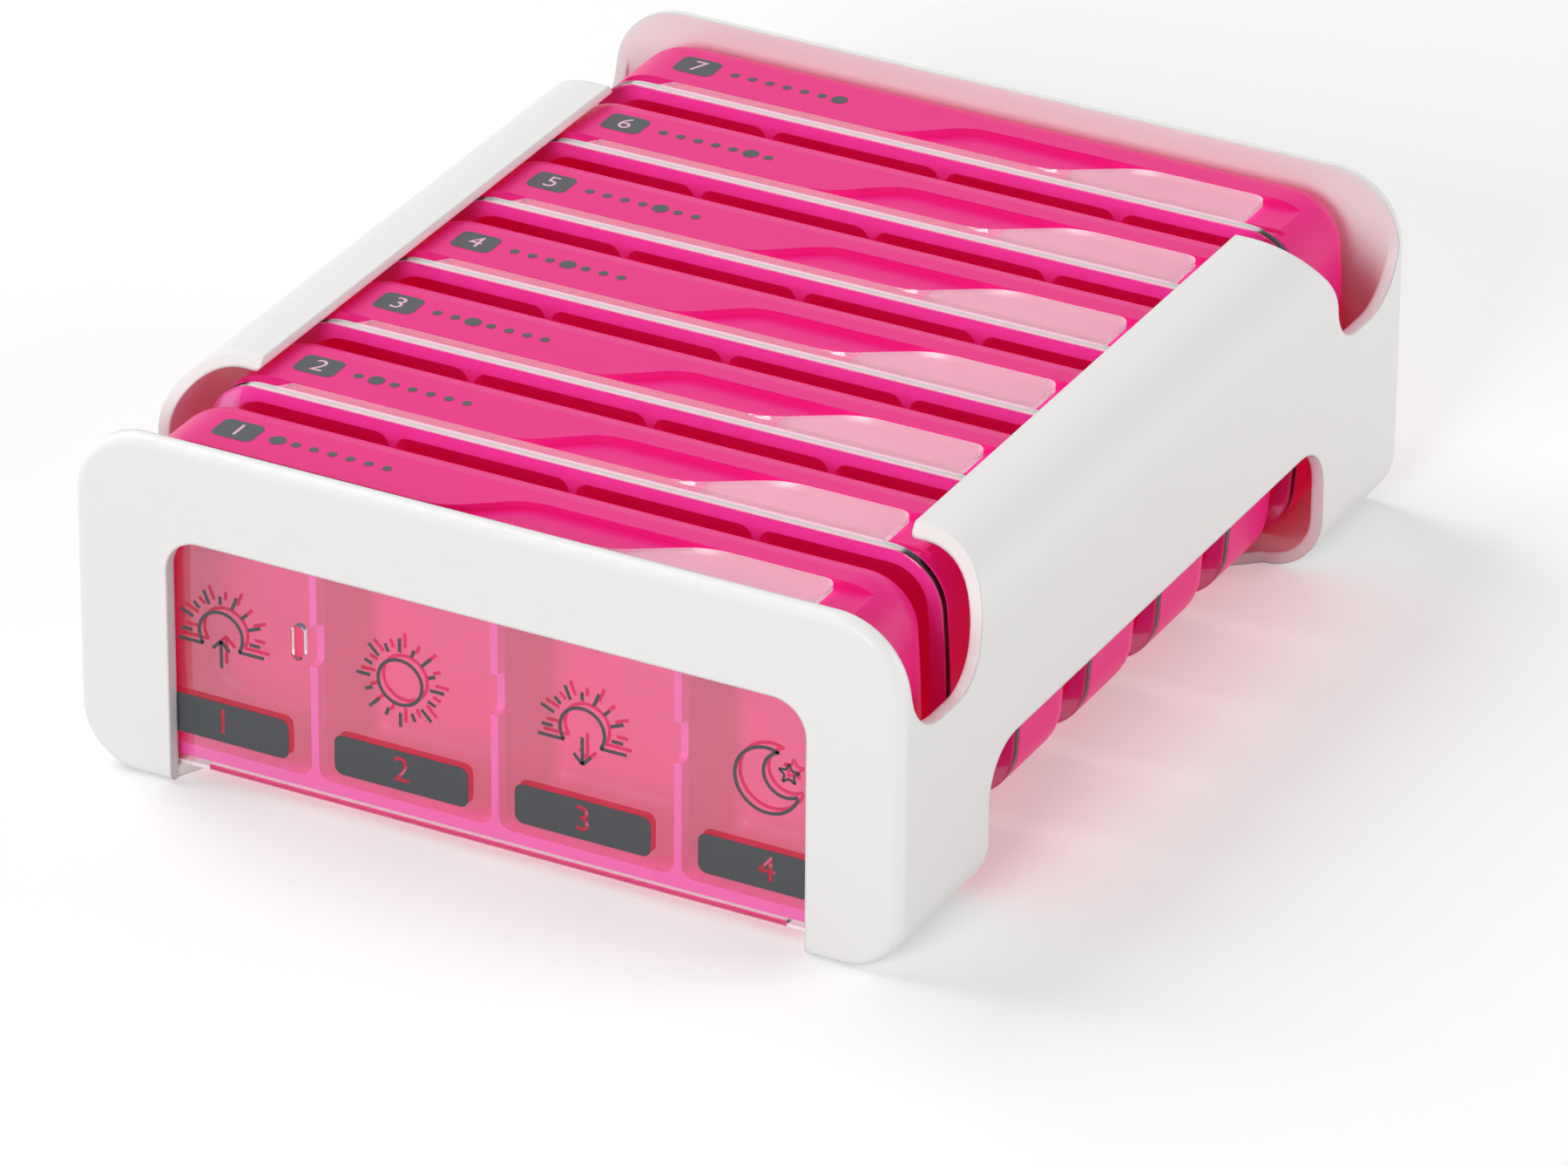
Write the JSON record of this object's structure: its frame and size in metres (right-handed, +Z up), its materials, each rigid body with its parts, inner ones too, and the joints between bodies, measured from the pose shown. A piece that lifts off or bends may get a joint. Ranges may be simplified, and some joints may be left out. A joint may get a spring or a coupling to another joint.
{
  "type": "weekly pill organizer",
  "caption": "Open white rack that holds a row of translucent day boxes on edge, each with divided pill pockets and a clear sliding lid.",
  "frame": {"origin": "middle of the rack's footprint, at table height", "axes": "+X along the day boxes towards the lids' pull tabs, +Y from the rack's front to its back, +Z up"},
  "size_m": [0.134, 0.1638, 0.0554],
  "materials": {
    "rack_white": "satin",
    "tray_pink": "translucent, glossy",
    "lid_clear": "clear, glossy, frosted pull tab"
  },
  "bodies": {
    "rack": {"rack": "rack_white"},
    "tray_1": {"tray_1": "tray_pink"},
    "lid_1": {"lid_1": "lid_clear"},
    "tray_2": {"tray_2": "tray_pink"},
    "lid_2": {"lid_2": "lid_clear"},
    "tray_3": {"tray_3": "tray_pink"},
    "lid_3": {"lid_3": "lid_clear"},
    "tray_4": {"tray_4": "tray_pink"},
    "lid_4": {"lid_4": "lid_clear"},
    "tray_5": {"tray_5": "tray_pink"},
    "lid_5": {"lid_5": "lid_clear"},
    "tray_6": {"tray_6": "tray_pink"},
    "lid_6": {"lid_6": "lid_clear"},
    "tray_7": {"tray_7": "tray_pink"},
    "lid_7": {"lid_7": "lid_clear"}
  },
  "joints": [
    {"name": "tray_1_slide", "type": "slide", "parent": "rack", "child": "tray_1", "axis": [1, 0, 0], "range_m": [-0.004, 0]},
    {"name": "lid_1_slide", "type": "slide", "parent": "tray_1", "child": "lid_1", "axis": [1, 0, 0], "range_m": [0, 0.0039]},
    {"name": "tray_2_slide", "type": "slide", "parent": "rack", "child": "tray_2", "axis": [1, 0, 0], "range_m": [-0.004, 0]},
    {"name": "lid_2_slide", "type": "slide", "parent": "tray_2", "child": "lid_2", "axis": [1, 0, 0], "range_m": [0, 0.0039]},
    {"name": "tray_3_slide", "type": "slide", "parent": "rack", "child": "tray_3", "axis": [1, 0, 0], "range_m": [-0.004, 0]},
    {"name": "lid_3_slide", "type": "slide", "parent": "tray_3", "child": "lid_3", "axis": [1, 0, 0], "range_m": [0, 0.0039]},
    {"name": "tray_4_slide", "type": "slide", "parent": "rack", "child": "tray_4", "axis": [1, 0, 0], "range_m": [-0.004, 0]},
    {"name": "lid_4_slide", "type": "slide", "parent": "tray_4", "child": "lid_4", "axis": [1, 0, 0], "range_m": [0, 0.0039]},
    {"name": "tray_5_slide", "type": "slide", "parent": "rack", "child": "tray_5", "axis": [1, 0, 0], "range_m": [-0.004, 0]},
    {"name": "lid_5_slide", "type": "slide", "parent": "tray_5", "child": "lid_5", "axis": [1, 0, 0], "range_m": [0, 0.0039]},
    {"name": "tray_6_slide", "type": "slide", "parent": "rack", "child": "tray_6", "axis": [1, 0, 0], "range_m": [-0.004, 0]},
    {"name": "lid_6_slide", "type": "slide", "parent": "tray_6", "child": "lid_6", "axis": [1, 0, 0], "range_m": [0, 0.0039]},
    {"name": "tray_7_slide", "type": "slide", "parent": "rack", "child": "tray_7", "axis": [1, 0, 0], "range_m": [-0.004, 0]},
    {"name": "lid_7_slide", "type": "slide", "parent": "tray_7", "child": "lid_7", "axis": [1, 0, 0], "range_m": [0, 0.0039]}
  ]
}
